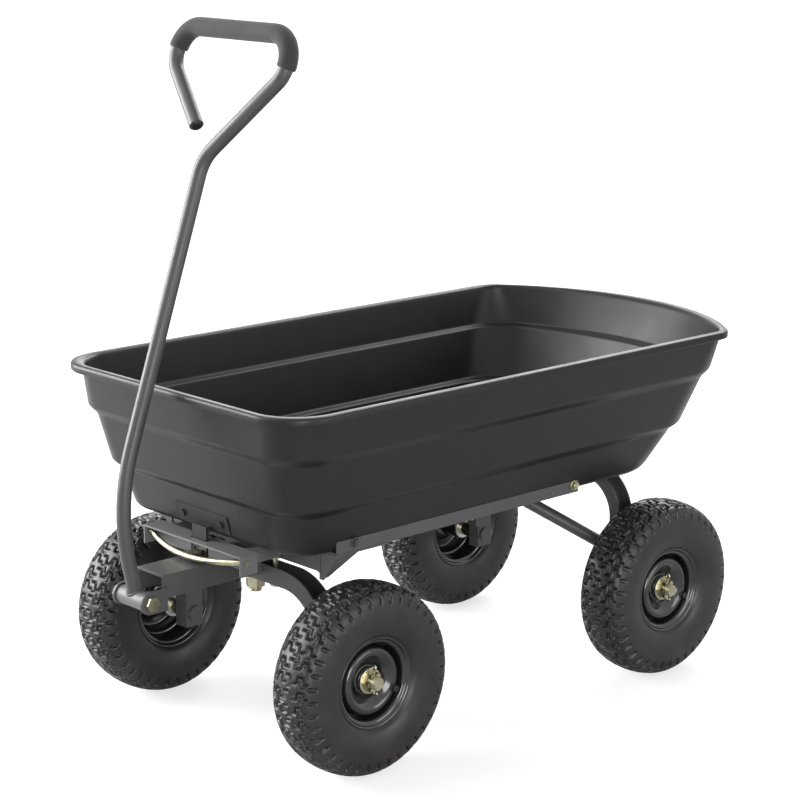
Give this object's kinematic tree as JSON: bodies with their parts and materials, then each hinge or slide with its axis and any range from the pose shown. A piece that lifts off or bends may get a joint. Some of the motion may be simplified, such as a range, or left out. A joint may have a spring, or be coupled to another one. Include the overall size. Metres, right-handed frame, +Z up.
{
  "type": "tipping dump cart",
  "caption": "Pull-along garden dump cart: moulded tub hinged at the rear on a steel chassis, steered front axle, pneumatic wheels, bail latch and D-loop pull handle.",
  "frame": {"origin": "on the ground under the middle of the cart's overall length and width", "axes": "+X forwards to the handle, +Y to the cart's left, +Z up"},
  "size_m": [0.9915, 0.5008, 0.9505],
  "materials": {
    "tub_poly": "satin moulded polyethylene",
    "frame_paint": "satin powder coat",
    "rim_gloss": "gloss paint",
    "tyre": "matt rubber",
    "foam": "matt foam",
    "yellow_zinc": "yellow zinc plate",
    "bare_steel": "bright zinc plate",
    "valve_rubber": "matt rubber",
    "cap_plastic": "moulded plastic"
  },
  "bodies": {
    "frame": {"backbone": "frame_paint", "front_crossmember": "frame_paint", "front_gusset_left": "frame_paint", "front_gusset_right": "frame_paint", "rear_arch": "frame_paint", "rear_brace_left": "frame_paint", "rear_brace_right": "frame_paint", "brace_bolts": "yellow_zinc", "hinge_bolts": "yellow_zinc", "latch_bracket": "frame_paint", "kingpin": "yellow_zinc", "kingpin_nut": "yellow_zinc", "rear_spindle_left": "bare_steel", "rear_spindle_right": "bare_steel", "rear_axle_washers": "yellow_zinc", "rear_axle_nuts": "yellow_zinc", "rear_cotter_pins": "yellow_zinc"},
    "tub": {"tub": "tub_poly", "bed_rail_left": "frame_paint", "bed_rail_right": "frame_paint", "bed_rail_bolts": "yellow_zinc", "tub_hinge_left": "frame_paint", "tub_hinge_right": "frame_paint", "latch_keeper": "frame_paint", "tub_bolts": "yellow_zinc"},
    "steering": {"front_arch": "frame_paint", "tongue": "frame_paint", "tongue_bolts": "yellow_zinc", "kingpin_bush": "bare_steel", "front_spindle_left": "bare_steel", "front_spindle_right": "bare_steel", "front_axle_washers": "yellow_zinc", "front_axle_nuts": "yellow_zinc", "front_cotter_pins": "yellow_zinc", "handle_pivot_bolt": "yellow_zinc"},
    "handle": {"handle_tube": "frame_paint", "pivot_sleeve": "frame_paint", "handle_grip": "foam", "handle_end_cap": "cap_plastic"},
    "latch": {"latch_bail": "yellow_zinc", "latch_hook": "yellow_zinc"},
    "wheel_front_left": {"tyre_front_left": "tyre", "rim_front_left": "rim_gloss", "bearings_front_left": "bare_steel", "valve_front_left": "valve_rubber"},
    "wheel_front_right": {"tyre_front_right": "tyre", "rim_front_right": "rim_gloss", "bearings_front_right": "bare_steel", "valve_front_right": "valve_rubber"},
    "wheel_rear_left": {"tyre_rear_left": "tyre", "rim_rear_left": "rim_gloss", "bearings_rear_left": "bare_steel", "valve_rear_left": "valve_rubber"},
    "wheel_rear_right": {"tyre_rear_right": "tyre", "rim_rear_right": "rim_gloss", "bearings_rear_right": "bare_steel", "valve_rear_right": "valve_rubber"}
  },
  "joints": [
    {"name": "steer", "type": "hinge", "parent": "frame", "child": "steering", "pos_m": [0.27419, 0, 0.25], "axis": [0, 0, 1], "range_deg": [-25, 25]},
    {"name": "handle_pitch", "type": "hinge", "parent": "steering", "child": "handle", "pos_m": [0.47019, 0, 0.2256], "axis": [0, 1, 0], "range_deg": [0, 115]},
    {"name": "tub_tip", "type": "hinge", "parent": "frame", "child": "tub", "pos_m": [-0.31381, 0, 0.277], "axis": [0, -1, 0], "range_deg": [0, 75]},
    {"name": "latch_lift", "type": "hinge", "parent": "frame", "child": "latch", "pos_m": [0.37219, 0, 0.274], "axis": [0, -1, 0], "range_deg": [-12, 25]},
    {"name": "spin_front_left", "type": "hinge", "parent": "steering", "child": "wheel_front_left", "pos_m": [0.27419, 0.212, 0.127], "axis": [0, 1, 0], "continuous": true},
    {"name": "spin_front_right", "type": "hinge", "parent": "steering", "child": "wheel_front_right", "pos_m": [0.27419, -0.212, 0.127], "axis": [0, 1, 0], "continuous": true},
    {"name": "spin_rear_left", "type": "hinge", "parent": "frame", "child": "wheel_rear_left", "pos_m": [-0.28981, 0.212, 0.127], "axis": [0, 1, 0], "continuous": true},
    {"name": "spin_rear_right", "type": "hinge", "parent": "frame", "child": "wheel_rear_right", "pos_m": [-0.28981, -0.212, 0.127], "axis": [0, 1, 0], "continuous": true}
  ]
}
